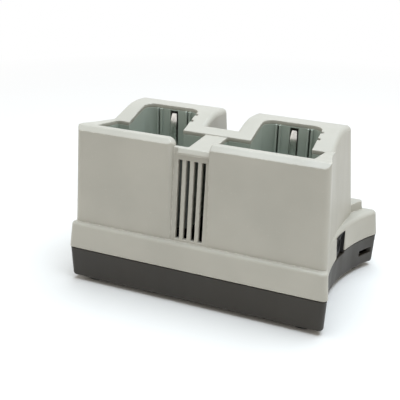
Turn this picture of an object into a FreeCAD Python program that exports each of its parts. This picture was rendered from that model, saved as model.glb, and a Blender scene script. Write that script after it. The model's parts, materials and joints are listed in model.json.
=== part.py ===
import FreeCAD, Part
import math
import os

# Two-bay charging cradle, in millimetres.
# +Z up, +Y to the back, +X to the right seen from the front.
# The origin is on the table, under the middle of the footprint.

os.makedirs("parts", exist_ok=True)
V = FreeCAD.Vector
UP = V(0, 0, 1)
RIGHT = V(1, 0, 0)

# ---------------------------------------------------------------- driving dimensions
depth = 79.2            # footprint, front to back, at the parting line
waist_half = 56.5       # half width at the narrowest place, at the parting line
waist_back = 36.1       # how far the waist lies behind the front edge
front_flare = 98.0      # radius of the hollow sides in front of the waist
rear_flare = 74.0       # and behind it

foot_proud = 2.0        # rubber feet below the tray
tray_height = 15.6      # black tray, bottom face to parting line
tray_draft = 0.4        # the tray leans in by this much at its bottom
tray_round = 1.6        # lower edge of the tray
skirt_height = 12.4     # parting line to the ledge
skirt_draft = 0.9       # the skirt leans in by this much at the ledge
bay_height = 46.5       # ledge to the front rim
shoulder_drop = 3.2     # shoulder below the front rim
tower_rise = 1.1        # tower top above the front rim
deck_rise = 4.3         # raised rear deck above the ledge
deck_margin = 2.0       # deck block in front of the rear edge
deck_waist = 54.8       # half width of the deck block, at its own waist
deck_waist_fore = 19.6  # that waist in front of the rear edge
deck_flare = 25.0       # radius of the deck block's sides

wall = 1.8              # housing wall
tray_wall = 2.4         # tray wall and floor
seam_gap = 0.6          # shadow line between housing and tray
seam_inset = 0.35       # tray stands back from the housing at the seam
lip_clearance = 0.15    # tray lip to housing wall

plate_back = 3.2        # front plates behind the front edge
bay_depth = 66.0        # front plates to the tower's rear face, at the ledge
rear_lean = 8.1         # the rear face leans forward by this much over its height
bay_foot_waist = 55.0   # half width of the bay walls at the ledge, at their waist
bay_waist_back = 41.6   # that waist behind the front edge
bay_front_flare = 123.0  # radius of the bay walls in front of it
bay_rear_flare = 200.0  # and behind it
bay_draft = 2.46        # the same walls lean in by this much over their height
front_draft = 0.8       # the front plates lean back by this much at the rim
corner_round = 2.8      # vertical corners of the bays
base_corner_round = 2.4  # vertical corners of the skirt and the tray
least_round = 0.6       # smallest rounding of the hollow's corners
ledge_round = 1.6       # outer edge of the ledge
rim_chamfer = 1.9       # height of the bevel along the top of the front plates
rim_bevel_depth = 2.4   # and its depth, front to back
tower_round = 2.4       # top edges of the towers
sweep_length = 20.0     # the top rises over this length behind the shoulder
top_fall = 3.6          # and falls by this much to the rear of the profile

pocket_inner = 5.0      # pocket side nearest the middle
pocket_outer = 50.0     # pocket side nearest the outer wall
pocket_front = 5.6      # behind the front plates
pocket_step = 25.0      # where the wide part of the pocket ends
rear_inner = 16.2       # narrow rear part of the pocket, inner side
rear_outer = 44.0       # and its outer side
rear_end = 45.4         # back of the narrow part
rear_corner = 5.0       # its two rear corners
groove_backs = (33.5, 39.0)  # upright grooves in its sides, behind the front plates
groove_width = 1.6
groove_depth = 1.2
pocket_floor = 36.0     # height of the pocket floor above the table
liner_wall = 1.2

recess_centre = -2.2    # louvred recess between the front plates
recess_half = 8.7
recess_back = 3.6       # how far its top lies behind its foot
lip_reach = 1.5         # lip over the recessed panel stands out by this much
lip_height = 2.6
recess_drop = 0.4       # top of the recessed panel below the shoulder
recess_bevel = 1.3      # bevel along the panel's top, front to back
recess_bevel_height = 1.7
notch_round = 3.4       # rounded top corner of the left front plate beside the panel
recess_round = 3.2      # rounded edge of the left front plate, at its top
recess_foot_round = 0.4  # and at its foot
louvre_count = 4
louvre_pitch = 3.67
louvre_width = 1.9
louvre_foot = 1.4       # slots start this far above the ledge
louvre_head = 5.2       # and stop this far below the recess's top

gap_half = 7.5          # gap between the towers, behind the bridge
gap_round = 2.4         # top edges of that gap
bridge_back = 30.6      # rear edge of the bridge behind the front plates

jack_back = 46.5        # DC inlet behind the front edge
jack_width = 10.6
jack_height = 10.2      # its top above the parting line
jack_drop = 1.4         # and its foot below it
jack_length = 14.0
jack_setback = 0.6      # its face behind the waist
jack_bore = 6.3
jack_pin = 2.1
jack_bore_depth = 9.5

board_thickness = 1.6
board_lift = 7.0        # underside of the main board above the tray floor
board_margin = 6.5      # edge of the main board inside the waist
board_half_y = 26.0
board_screw_radius = 1.1
screw_inset_x = 17.0    # housing screws, in from the waist
screw_inset_y = 8.0     # and from the front and back edges
boss_radius = 3.6
screw_radius = 1.5
screw_clearance = 0.2
screw_head_radius = 2.9
screw_head_height = 2.0
foot_radius = 5.0
foot_thickness = 3.0
foot_inset = 9.0        # feet, in from the sides
foot_inset_y = 8.6      # and from the front and back edges

contact_top = 31.0      # top face of the contact boards above the table
pin_count = 4           # sprung contacts in each pocket floor
pin_pitch = 5.0
pin_radius = 0.9
pin_travel = 1.5
pin_end_gap = 0.3       # pin to the bottom of its barrel when pressed
barrel_radius = 1.4
barrel_top = 37.0
running_clearance = 0.05
leaf_width = 3.2
leaf_thickness = 0.35
leaf_head = 3.4         # leaf spring ends this far below the tower top
leaf_bow = 1.1          # how far the leaf bulges into the pocket
window_half = 2.0       # window behind the leaf
window_foot = 50.0
guide_offset = 7.5      # guide ribs either side of the leaf spring
guide_gap = 1.8
rib_width = 0.9
rib_depth = 1.1
slot_width = 8.0        # oblong slot in the tray's right side
slot_height = 3.0
slot_back = 70.7        # its middle behind the front edge
slot_z = 9.5            # and its height above the table


# ---------------------------------------------------------------- derived places
front_y = -depth / 2
back_y = depth / 2
waist_y = front_y + waist_back
tray_z = foot_proud
seam_z = tray_z + tray_height
ledge_z = seam_z + skirt_height
rim_z = ledge_z + bay_height
shoulder_z = rim_z - shoulder_drop
tower_z = rim_z + tower_rise
deck_z = ledge_z + deck_rise
plate_y = front_y + plate_back
tower_y = plate_y + bay_depth
base_sides = (waist_y, front_flare, rear_flare)
bay_sides = (front_y + bay_waist_back, bay_front_flare, bay_rear_flare)
deck_sides = (back_y - deck_waist_fore, deck_flare, deck_flare)
bay_centre = (rear_inner + rear_outer) / 2
board_z = tray_z + tray_wall + board_lift
board_top = board_z + board_thickness
board_half_x = waist_half - board_margin
leaf_length = tower_z - leaf_head - window_foot - 0.6
far = 3 * depth


def flare(y, sides):
    """How far a hollow side stands outside its waist at one place."""
    middle, front_radius, rear_radius = sides
    radius = front_radius if y < middle else rear_radius
    return radius - math.sqrt(radius ** 2 - (y - middle) ** 2)


def hourglass(front, rear, waist, z, sides):
    """Closed outline with straight front and rear; each side is two arcs that meet at its waist."""
    middle = sides[0]
    stops = [front, (front + middle) / 2, middle, (middle + rear) / 2, rear]
    right = [V(waist + flare(y, sides), y, z) for y in stops]
    left = [V(-point.x, point.y, z) for point in right]
    edges = [
        Part.LineSegment(left[0], right[0]).toShape(),
        Part.Arc(right[0], right[1], right[2]).toShape(),
        Part.Arc(right[2], right[3], right[4]).toShape(),
        Part.LineSegment(right[4], left[4]).toShape(),
        Part.Arc(left[4], left[3], left[2]).toShape(),
        Part.Arc(left[2], left[1], left[0]).toShape(),
    ]
    return Part.Wire(edges)


def tapered(lower, upper, corner_radius, sides=base_sides):
    """Solid between two hourglass outlines, with its four upright corners rounded."""
    solid = Part.makeLoft([hourglass(*lower, sides), hourglass(*upper, sides)], True, True)
    rise = 0.9 * (upper[3] - lower[3])
    uprights = []
    for e in solid.Edges:
        box = e.BoundBox
        at_corner = box.YMax < sides[0] - 2 or box.YMin > sides[0] + 2
        if box.ZLength > rise and at_corner:
            uprights.append(e)
    return solid.makeFillet(corner_radius, uprights)


def level_edges(solid, z):
    """Edges that lie wholly at one height."""
    return [e for e in solid.Edges if max(abs(e.BoundBox.ZMin - z), abs(e.BoundBox.ZMax - z)) < 0.01]


def block(x0, x1, y0, y1, z0, z1):
    """Box from its six limits."""
    return Part.makeBox(x1 - x0, y1 - y0, z1 - z0, V(x0, y0, z0))


def rounded_block(x0, x1, y0, y1, z0, z1, radius):
    """Box with its four upright edges rounded."""
    solid = block(x0, x1, y0, y1, z0, z1)
    uprights = [e for e in solid.Edges if e.BoundBox.ZLength > 0.9 * (z1 - z0)]
    return solid.makeFillet(radius, uprights)


def cylinder(radius, height, x, y, z, axis=UP):
    """Cylinder that starts at a point and runs along an axis."""
    return Part.makeCylinder(radius, height, V(x, y, z), axis)


def mirrored(solid):
    """The same piece on the other side of the middle plane."""
    return solid.mirror(V(0, 0, 0), RIGHT)


def save(solid, name):
    """Write one sub-part after a validity test."""
    if not solid.isValid() or not solid.Solids:
        raise RuntimeError(name + " is not a valid solid")
    shape = solid.Solids[0] if len(solid.Solids) == 1 else Part.makeCompound(solid.Solids)
    shape.exportStep("parts/" + name + ".step")
    print(name, len(solid.Solids), round(solid.Volume, 1))


def top_profile(lower_by, z_base):
    """Side view of the bays, extruded across the whole width and lowered by a skin thickness."""
    front = plate_y - 2
    rear = tower_y + 2
    chamfer_y = plate_y + front_draft + lower_by
    flat_y = plate_y + pocket_front
    step_y = plate_y + pocket_step
    sweep_y = step_y + sweep_length
    rim = rim_z - lower_by
    shoulder = shoulder_z - lower_by
    tower = tower_z - lower_by
    rise = Part.BezierCurve()
    third = (sweep_y - step_y) / 3
    rise.setPoles([
        V(0, step_y, shoulder),
        V(0, step_y + third, shoulder + 0.35 * (tower - shoulder)),
        V(0, step_y + 2 * third, tower),
        V(0, sweep_y, tower),
    ])
    fall = Part.BezierCurve()
    fall.setPoles([
        V(0, sweep_y, tower),
        V(0, sweep_y + 0.24 * (rear - sweep_y), tower),
        V(0, sweep_y + 0.60 * (rear - sweep_y), tower - 0.40 * top_fall),
        V(0, rear, tower - top_fall),
    ])
    points = [
        V(0, rear, tower - top_fall), V(0, rear, z_base),
        V(0, front, z_base), V(0, front, rim - rim_chamfer),
        V(0, chamfer_y, rim - rim_chamfer), V(0, chamfer_y + rim_bevel_depth, rim),
        V(0, flat_y, rim), V(0, step_y, shoulder),
    ]
    edges = [rise.toShape(), fall.toShape()]
    edges += [Part.LineSegment(a, b).toShape() for a, b in zip(points, points[1:])]
    face = Part.Face(Part.Wire(edges))
    solid = face.extrude(V(far, 0, 0))
    solid.translate(V(-far / 2, 0, 0))
    return solid


def bay_walls(inset, z_base):
    """Both bays and the bridge as one block, before anything is cut out."""
    top_waist = bay_foot_waist - bay_draft - inset
    lower = (plate_y + inset, tower_y - inset, bay_foot_waist - inset, z_base)
    upper = (plate_y + front_draft + inset, tower_y - rear_lean - inset, top_waist, tower_z + 4)
    return tapered(lower, upper, max(corner_round - inset, 0.8), bay_sides)


def plate_edge_cut():
    """Round-over of the left front plate where it meets the recess; it widens upward."""
    x = recess_centre - recess_half
    sections = []
    for z, y, radius in ((ledge_z, plate_y, recess_foot_round),
                         (tower_z + 4, plate_y + front_draft, recess_round)):
        start = V(x - radius, y, z)
        end = V(x, y + radius, z)
        bend = V(x - radius * (1 - math.sqrt(0.5)), y + radius * (1 - math.sqrt(0.5)), z)
        outside = [end, V(x + 2, y + radius, z), V(x + 2, y - 2, z), V(x - radius, y - 2, z), start]
        edges = [Part.Arc(start, bend, end).toShape()]
        edges += [Part.LineSegment(a, b).toShape() for a, b in zip(outside, outside[1:])]
        sections.append(Part.Wire(edges))
    return Part.makeLoft(sections, True, True)


def recess_cut(extra):
    """Space in front of the louvred panel, grown by a wall thickness."""
    x0 = recess_centre - recess_half - extra
    x1 = recess_centre + recess_half + extra
    front = plate_y - 6
    foot = plate_y + extra
    head = plate_y + recess_back + extra
    top = shoulder_z - recess_drop
    corners = ((front, ledge_z), (foot, ledge_z), (head, top), (front, top), (front, ledge_z))
    outline = [V(x0, y, z) for y, z in corners]
    cut = Part.Face(Part.makePolygon(outline)).extrude(V(x1 - x0, 0, 0))
    return cut


def notch_cut(extra):
    """Space above the lowered wall and the bridge."""
    x0 = recess_centre - recess_half - extra
    x1 = recess_centre + recess_half + extra
    z0 = shoulder_z - recess_drop - extra
    return block(x0, x1, plate_y - 6, plate_y + pocket_step, z0, tower_z + 9)


def panel_lip():
    """Lip along the top of the louvred panel."""
    face_y = plate_y + recess_back
    top = shoulder_z - recess_drop
    return block(recess_centre - recess_half - 0.5, recess_centre + recess_half + 0.5,
                 face_y - lip_reach, face_y + 0.5, top - lip_height, top)


def panel_bevel():
    """Bevel along the top of the lip."""
    x0 = recess_centre - recess_half
    top = shoulder_z - recess_drop
    face_y = plate_y + recess_back - lip_reach
    corners = ((face_y - 2, top - recess_bevel_height), (face_y, top - recess_bevel_height),
               (face_y + recess_bevel, top), (face_y + recess_bevel, top + 2),
               (face_y - 2, top + 2), (face_y - 2, top - recess_bevel_height))
    outline = [V(x0, y, z) for y, z in corners]
    return Part.Face(Part.makePolygon(outline)).extrude(V(2 * recess_half, 0, 0))


def notch_corner_cut():
    """Round-over of the left front plate's top corner beside the panel, seen from the front."""
    x = recess_centre - recess_half
    radius = notch_round
    low = rim_z - radius
    bend = V(x - radius * (1 - math.sqrt(0.5)), plate_y - 2, low + radius * math.sqrt(0.5))
    start = V(x, plate_y - 2, low)
    end = V(x - radius, plate_y - 2, rim_z)
    outside = [end, V(x - radius, plate_y - 2, rim_z + 3), V(x + 3, plate_y - 2, rim_z + 3),
               V(x + 3, plate_y - 2, low), start]
    edges = [Part.Arc(start, bend, end).toShape()]
    edges += [Part.LineSegment(a, b).toShape() for a, b in zip(outside, outside[1:])]
    return Part.Face(Part.Wire(edges)).extrude(V(0, pocket_front + 2.1, 0))


def rear_gap(extra):
    """Space between the two towers, behind the bridge."""
    return block(-gap_half - extra, gap_half + extra, plate_y + bridge_back - extra, tower_y + 9,
                 deck_z - extra, tower_z + 9)


def pocket(grow, z0, z1, grooved_outside):
    """Upright T-shaped prism of the right pocket, grown by a wall thickness, grooved in one side."""
    y0 = plate_y + pocket_front - grow
    y1 = plate_y + pocket_step + grow
    wide = rounded_block(pocket_inner - grow, pocket_outer + grow, y0, y1, z0, z1, 1.0 + grow)
    narrow = block(rear_inner - grow, rear_outer + grow, y1 - 6, plate_y + rear_end + grow, z0, z1)
    back = [e for e in narrow.Edges if e.BoundBox.ZLength > 0.9 * (z1 - z0) and e.BoundBox.YMin > y1]
    whole = wide.fuse(narrow.makeFillet(rear_corner + grow, back))
    reach = groove_depth + grow
    half = groove_width / 2 + grow
    x0, x1 = (bay_centre, rear_outer + reach) if grooved_outside else (rear_inner - reach, bay_centre)
    for groove_back in groove_backs:
        y = plate_y + groove_back
        whole = whole.fuse(block(x0, x1, y - half, y + half, z0, z1))
    return whole.removeSplitter()


def pocket_opening(z0, z1):
    """Both pockets."""
    return pocket(0, z0, z1, True).fuse(mirrored(pocket(0, z0, z1, False)))


def screw_places():
    """Four places for the housing screws."""
    y0 = front_y + screw_inset_y
    y1 = back_y - screw_inset_y
    x = waist_half - screw_inset_x
    return [V(-x, y0, 0), V(x, y0, 0), V(-x, y1, 0), V(x, y1, 0)]


# ---------------------------------------------------------------- housing and tray
def skirt(inset, z0, z1):
    """Lower band of the housing, from the parting line to the ledge."""
    lower = (front_y + inset, back_y - inset, waist_half - inset, z0)
    top_inset = inset + skirt_draft
    upper = (front_y + top_inset, back_y - top_inset, waist_half - top_inset, z1)
    return tapered(lower, upper, max(base_corner_round - inset, least_round))


def deck(inset, z0):
    """Raised block behind the towers."""
    front = min(deck_sides[0], tower_y) - 5
    rear = back_y - deck_margin - inset
    lower = (front, rear, deck_waist - inset, z0)
    upper = (front, rear - 0.4, deck_waist - inset - 0.4, deck_z - inset)
    return tapered(lower, upper, 1.5, deck_sides)


def louvres():
    """Upright slots through the recessed panel."""
    cutters = []
    for i in range(louvre_count):
        x = recess_centre + (i - (louvre_count - 1) / 2) * louvre_pitch
        z0 = ledge_z + louvre_foot
        z1 = shoulder_z - recess_drop - louvre_head
        cutters.append(block(x - louvre_width / 2, x + louvre_width / 2, plate_y - 3,
                             plate_y + recess_back + wall + 1.5, z0, z1))
    return Part.makeCompound(cutters)


def jack_window(grow, z0):
    """Space of the DC inlet in the right side wall, from a height upward."""
    y = front_y + jack_back
    x1 = waist_half + 9
    return block(waist_half - jack_length - 1, x1, y - jack_width / 2 - grow, y + jack_width / 2 + grow,
                 z0, seam_z + jack_height + grow)


def top_outline(bays):
    """Edges along the sides and the back of the towers' top, without the ones that cross it."""
    outline = []
    for e in bays.Edges:
        box = e.BoundBox
        on_top = box.ZMin > shoulder_z - 0.1 and box.ZMax < tower_z + 0.1
        on_side = box.XLength < 10 and box.YMin > plate_y + pocket_step - 0.6
        on_back = box.YMin > tower_y - rear_lean - 0.5
        if on_top and (on_side or on_back):
            outline.append(e)
    return outline


def gap_rims(solid):
    """Top edges of the towers along the gap between them."""
    rims = []
    for e in solid.Edges:
        box = e.BoundBox
        on_wall = abs(abs(box.Center.x) - gap_half) < 0.01 and box.XLength < 0.01
        if on_wall and box.ZMin > shoulder_z and box.YLength > 1:
            rims.append(e)
    return rims


def upper_housing():
    """Grey moulding: skirt, ledge, two bays with their towers, bridge and rear deck."""
    base = skirt(0, seam_z, ledge_z)
    base = base.makeFillet(ledge_round, level_edges(base, ledge_z))
    bays = bay_walls(0, ledge_z).common(top_profile(0, ledge_z - 1))
    bays = bays.makeFillet(tower_round, top_outline(bays))
    outer = base.fuse(bays).fuse(deck(0, ledge_z - 1)).removeSplitter()
    outer = outer.cut(recess_cut(0)).fuse(panel_lip())
    for space in (notch_cut(0), rear_gap(0), plate_edge_cut(), panel_bevel(), notch_corner_cut()):
        outer = outer.cut(space)
    outer = outer.makeFillet(gap_round, gap_rims(outer))
    hollow = bay_walls(wall, ledge_z - wall - 0.5).common(top_profile(wall, ledge_z - wall - 1))
    for space in (recess_cut(wall), notch_cut(wall), rear_gap(wall)):
        hollow = hollow.cut(space)
    hollow = hollow.fuse(skirt(wall, seam_z - 0.01, ledge_z - wall)).fuse(deck(wall, ledge_z - wall - 1))
    shell = outer.cut(hollow)
    for space in (pocket_opening(shoulder_z - 9, tower_z + 9), louvres(), jack_window(0.1, seam_z - 1)):
        shell = shell.cut(space)
    for place in screw_places():
        top = ledge_z + (3.2 if place.y < 0 else deck_rise - 0.5)
        boss = cylinder(boss_radius, top - seam_z, place.x, place.y, seam_z)
        pilot = cylinder(screw_radius + running_clearance, 10.5, place.x, place.y, seam_z)
        shell = shell.fuse(boss).cut(pilot)
    return shell.removeSplitter()


def base_tray():
    """Black tray with floor, lip, screw posts, board posts and the oblong slot."""
    top = seam_z - seam_gap
    low_inset = seam_inset + tray_draft
    lower = (front_y + low_inset, back_y - low_inset, waist_half - low_inset, tray_z)
    upper = (front_y + seam_inset, back_y - seam_inset, waist_half - seam_inset, top)
    outer = tapered(lower, upper, base_corner_round - seam_inset)
    outer = outer.makeFillet(tray_round, level_edges(outer, tray_z))
    deep = low_inset + tray_wall
    shallow = seam_inset + tray_wall
    inner = tapered((front_y + deep, back_y - deep, waist_half - deep, tray_z + tray_wall),
                    (front_y + shallow, back_y - shallow, waist_half - shallow, top + 0.01), least_round)
    lip_out = wall + lip_clearance + 0.25
    lip_in = lip_out + 1.2
    lip_top = seam_z + 2.5
    lip = tapered((front_y + lip_out, back_y - lip_out, waist_half - lip_out, top - 2),
                  (front_y + lip_out, back_y - lip_out, waist_half - lip_out, lip_top), least_round)
    lip = lip.cut(tapered((front_y + lip_in, back_y - lip_in, waist_half - lip_in, top - 3),
                          (front_y + lip_in, back_y - lip_in, waist_half - lip_in, lip_top + 1),
                          least_round / 2))
    tray = outer.cut(inner).fuse(lip)
    tray = tray.cut(jack_window(0.3, seam_z - jack_drop - 0.3))
    y = front_y + slot_back
    x = waist_half + 20
    slot = block(waist_half - 4, x, y - slot_width / 2, y + slot_width / 2,
                 slot_z - slot_height / 2, slot_z + slot_height / 2)
    tray = tray.cut(slot)
    for place in screw_places():
        post = cylinder(boss_radius, seam_z - running_clearance - tray_z - 1, place.x, place.y, tray_z + 1)
        hole = cylinder(screw_radius + screw_clearance, tray_height + 2, place.x, place.y, tray_z - 1)
        sink_radius = screw_head_radius + screw_clearance
        sink = cylinder(sink_radius, screw_head_height + 1.4, place.x, place.y, tray_z - 1)
        tray = tray.fuse(post).cut(hole).cut(sink)
    for place in board_screw_places():
        post = cylinder(3.0, board_z - tray_z - 1, place.x, place.y, tray_z + 1)
        pilot = cylinder(board_screw_radius + running_clearance, 5.5, place.x, place.y, board_z - 5.5)
        tray = tray.fuse(post).cut(pilot)
    for place in foot_places():
        tray = tray.cut(cylinder(foot_radius + 0.1, foot_thickness - foot_proud, place.x, place.y, tray_z))
    return tray.removeSplitter()


def board_screw_places():
    """Four places for the screws of the main board."""
    return [V(sx * (board_half_x - 5), sy * (board_half_y - 5), 0) for sx in (-1, 1) for sy in (-1, 1)]


def foot_places():
    """Four places for the rubber feet."""
    places = []
    for y in (front_y + foot_inset_y, back_y - foot_inset_y):
        x = waist_half + flare(y, base_sides) - foot_inset
        places += [V(-x, y, 0), V(x, y, 0)]
    return places


# ---------------------------------------------------------------- pockets
def liner(grooved_outside):
    """Right pocket before it is trimmed: a cup with ribs, a leaf window and holes for the pins."""
    z0 = pocket_floor - liner_wall
    skin = top_profile(wall, z0 - 1)
    body = pocket(liner_wall, z0, tower_z + 5, grooved_outside)
    body = body.cut(pocket(0, pocket_floor, tower_z + 6, grooved_outside)).common(skin)
    back = plate_y + rear_end
    for offset in (-guide_offset, guide_offset):
        for side in (-1, 1):
            x = bay_centre + offset + side * guide_gap / 2
            half = rib_width / 2
            rib = block(x - half, x + half, back - rib_depth, back + 0.2, pocket_floor, tower_z)
            body = body.fuse(rib.common(skin))
    window_top = tower_z - leaf_head + 0.9
    spans = [(bay_centre, window_half)]
    spans += [(bay_centre + offset, (guide_gap - rib_width) / 2) for offset in (-guide_offset, guide_offset)]
    for x, half in spans:
        body = body.cut(block(x - half, x + half, back - 4, back + 4, window_foot, window_top))
    for x in pin_xs():
        body = body.cut(cylinder(barrel_radius + 0.1, 9, x, pin_y(), z0 - 4))
    for x in contact_screw_xs():
        boss = cylinder(2.4, z0 - contact_top + 0.6, x, pin_y(), contact_top)
        body = body.fuse(boss).cut(cylinder(0.8 + running_clearance, 3.2, x, pin_y(), contact_top))
    return body.removeSplitter()


def trimmed(cup):
    """Pocket cup cut back where the louvred panel and the notch come close to it."""
    gap = wall + lip_clearance
    return cup.cut(recess_cut(gap)).cut(notch_cut(gap)).removeSplitter()


def pin_xs():
    """Across-places of the sprung contacts in the right pocket."""
    return [bay_centre + (i - (pin_count - 1) / 2) * pin_pitch for i in range(pin_count)]


def pin_y():
    """Front-to-back place of the sprung contacts."""
    return plate_y + (pocket_step + rear_end) / 2


def contact_screw_xs():
    """Across-places of the two screws that hold a contact board."""
    reach = (pin_count - 1) / 2 * pin_pitch + 4.2
    return [bay_centre - reach, bay_centre + reach]


def pin_barrel(x):
    """Brass tube that guides one sprung contact."""
    height = barrel_top - contact_top
    tube = cylinder(barrel_radius, height, x, pin_y(), contact_top)
    bore = cylinder(pin_radius + running_clearance, height - 0.6, x, pin_y(), contact_top + 0.6)
    return tube.cut(bore)


def pin_plunger(x):
    """Plunger with a domed tip."""
    low = contact_top + 0.6 + pin_travel + pin_end_gap
    high = barrel_top + pin_travel + 0.4
    rod = cylinder(pin_radius, high - low, x, pin_y(), low)
    return rod.makeFillet(0.6 * pin_radius, level_edges(rod, high))


def contact_board():
    """Small board under the right pocket."""
    reach = contact_screw_xs()[1] - bay_centre + 3.6
    y = pin_y()
    plate = rounded_block(bay_centre - reach, bay_centre + reach, y - 7, y + 7, contact_top - board_thickness,
                          contact_top, 1.0)
    for x in contact_screw_xs():
        plate = plate.cut(cylinder(1.0, 9, x, y, contact_top - 4))
    return plate


def contact_screw(x):
    """Small pan-head screw, driven from below."""
    head = cylinder(1.6, 1.1, x, pin_y(), contact_top - board_thickness - 1.1)
    shank = cylinder(0.8, board_thickness + 2.8, x, pin_y(), contact_top - board_thickness)
    return head.fuse(shank).removeSplitter()


def board_connector():
    """Tall header that joins the right contact board to the main board."""
    height = contact_top - board_thickness - board_top
    y = pin_y()
    body = block(bay_centre - 8, bay_centre + 8, y - 2.6, y + 2.6, board_top, board_top + height)
    for i in range(6):
        x = bay_centre + (i - 2.5) * 2.54
        body = body.cut(block(x - 0.4, x + 0.4, y - 3, y - 1.9, board_top + 2, board_top + height - 2))
    return body.removeSplitter()


def leaf_spring():
    """Bent metal strip that presses a pack forward; it bows into the pocket and ends in the window."""
    back = plate_y + rear_end
    z0 = window_foot + 0.6
    bow = leaf_bow
    spine = [
        (back + liner_wall + 0.3, z0 - 1.5), (back + liner_wall + 0.3, z0),
        (back + 0.1, z0 + 1.5), (back - bow, z0 + 0.68 * leaf_length),
        (back - 0.9 * bow, z0 + 0.80 * leaf_length),
        (back + liner_wall * 0.6, z0 + leaf_length),
    ]
    front = [V(bay_centre - leaf_width / 2, y, z) for y, z in spine]
    rear = [V(bay_centre - leaf_width / 2, y + leaf_thickness, z) for y, z in reversed(spine)]
    outline = front + rear + [front[0]]
    return Part.Face(Part.makePolygon(outline)).extrude(V(leaf_width, 0, 0))


def leaf_clip():
    """Moulded clip behind the window that holds the foot of the leaf spring."""
    back = plate_y + rear_end + liner_wall + 0.02
    body = block(bay_centre - 5, bay_centre + 5, back, back + 1.4, window_foot - 6, window_foot + 1.2)
    room = block(bay_centre - leaf_width / 2 - 0.4, bay_centre + leaf_width / 2 + 0.4, back - 1, back + 1.0,
                 window_foot - 1.5, window_foot + 2)
    return body.cut(room)


# ---------------------------------------------------------------- inlet and electronics
def dc_jack():
    """Moulded body of the inlet, bored from the outside."""
    y = front_y + jack_back
    x0 = waist_half - jack_length + 0.5
    x1 = waist_half - jack_setback
    z0 = seam_z - jack_drop
    z1 = seam_z + jack_height
    body = block(x0, x1, y - jack_width / 2, y + jack_width / 2, z0, z1)
    bore = cylinder(jack_bore / 2, jack_bore_depth, x1 - jack_bore_depth, y, (z0 + z1) / 2, RIGHT)
    return body.cut(bore)


def dc_jack_pin():
    """Centre pin of the inlet."""
    y = front_y + jack_back
    x1 = waist_half - jack_setback
    z = seam_z + (jack_height - jack_drop) / 2
    base_x = x1 - jack_bore_depth
    rod = cylinder(jack_pin / 2, jack_bore_depth - 1.0, base_x, y, z, RIGHT)
    tip = [e for e in rod.Edges if e.BoundBox.XMin > base_x + 1 and e.BoundBox.XLength < 0.01]
    return rod.makeFillet(0.4, tip)


def dc_jack_spring():
    """Flat side contact inside the inlet's bore."""
    y = front_y + jack_back
    x1 = waist_half - jack_setback
    z = seam_z + (jack_height - jack_drop) / 2
    low = z - jack_bore / 2 + 0.35
    return block(x1 - jack_bore_depth, x1 - 2.5, y - 0.9, y + 0.9, low, low + 0.3)


def jack_legs():
    """Three solder legs between the inlet and the main board."""
    y = front_y + jack_back
    x = board_half_x - 1.5
    return [block(x + dx - 0.5, x + dx + 0.5, y + dy - 0.3, y + dy + 0.3, board_top, seam_z - jack_drop)
            for dx, dy in ((0, -3), (0, 3), (-3, 0))]


def main_board():
    """Main circuit board."""
    plate = rounded_block(-board_half_x, board_half_x, -board_half_y, board_half_y, board_z, board_top, 2.0)
    for place in board_screw_places():
        plate = plate.cut(cylinder(board_screw_radius + 0.3, 9, place.x, place.y, board_z - 4))
    return plate


def board_screw(place):
    """Pan-head screw of the main board."""
    x, y = place.x, place.y
    head = cylinder(2.3, 1.6, x, y, board_top)
    length = board_thickness + 5
    shank = cylinder(board_screw_radius, length, x, y, board_top - length)
    recess = block(x - 1.3, x + 1.3, y - 0.25, y + 0.25, board_top + 0.9, board_top + 2)
    cross = block(x - 0.25, x + 0.25, y - 1.3, y + 1.3, board_top + 0.9, board_top + 2)
    return head.fuse(shank).removeSplitter().cut(recess).cut(cross)


def housing_screw(place):
    """Screw from below the tray up into the housing boss."""
    z = tray_z + 0.4
    head = cylinder(screw_head_radius, screw_head_height, place.x, place.y, z)
    shank = cylinder(screw_radius, seam_z + 9 - z, place.x, place.y, z)
    slot_a = block(place.x - 1.7, place.x + 1.7, place.y - 0.35, place.y + 0.35, z - 1, z + 1.1)
    slot_b = block(place.x - 0.35, place.x + 0.35, place.y - 1.7, place.y + 1.7, z - 1, z + 1.1)
    return head.fuse(shank).removeSplitter().cut(slot_a).cut(slot_b)


def rubber_foot(place):
    """Round foot with a softened lower edge."""
    disc = cylinder(foot_radius, foot_thickness, place.x, place.y, 0)
    return disc.makeFillet(0.5, level_edges(disc, 0))


def heat_sink():
    """Finned block that cools the two regulators."""
    x0, x1 = -16.0, 16.0
    y0, y1 = 14.0, 24.0
    body = block(x0, x1, y0, y1, board_top, board_top + 3)
    count = 9
    for i in range(count):
        x = x0 + 0.8 + i * (x1 - x0 - 1.6) / (count - 1)
        body = body.fuse(block(x - 0.6, x + 0.6, y0, y1, board_top + 2.5, board_top + 13))
    return body.removeSplitter()


def power_inductor():
    """Wound drum on a square base."""
    base = block(-7, 7, -20, -6, board_top, board_top + 1.5)
    drum = cylinder(6.2, 6.0, 0, -13, board_top + 1.5)
    groove = cylinder(6.3, 3.6, 0, -13, board_top + 2.8).cut(cylinder(5.2, 3.6, 0, -13, board_top + 2.8))
    return base.fuse(drum.cut(groove)).removeSplitter()


def capacitor(x, y):
    """Electrolytic can."""
    can = cylinder(4.0, 11.0, x, y, board_top)
    return can.makeFillet(0.6, level_edges(can, board_top + 11.0))


def chip(x, y):
    """Charge controller in a flat package with its leads."""
    body = block(x - 3.5, x + 3.5, y - 2.5, y + 2.5, board_top + 0.2, board_top + 1.8)
    for i in range(5):
        lead_x = x + (i - 2) * 1.27
        body = body.fuse(block(lead_x - 0.2, lead_x + 0.2, y - 3.6, y + 3.6, board_top, board_top + 0.8))
    return body.removeSplitter()


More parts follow.
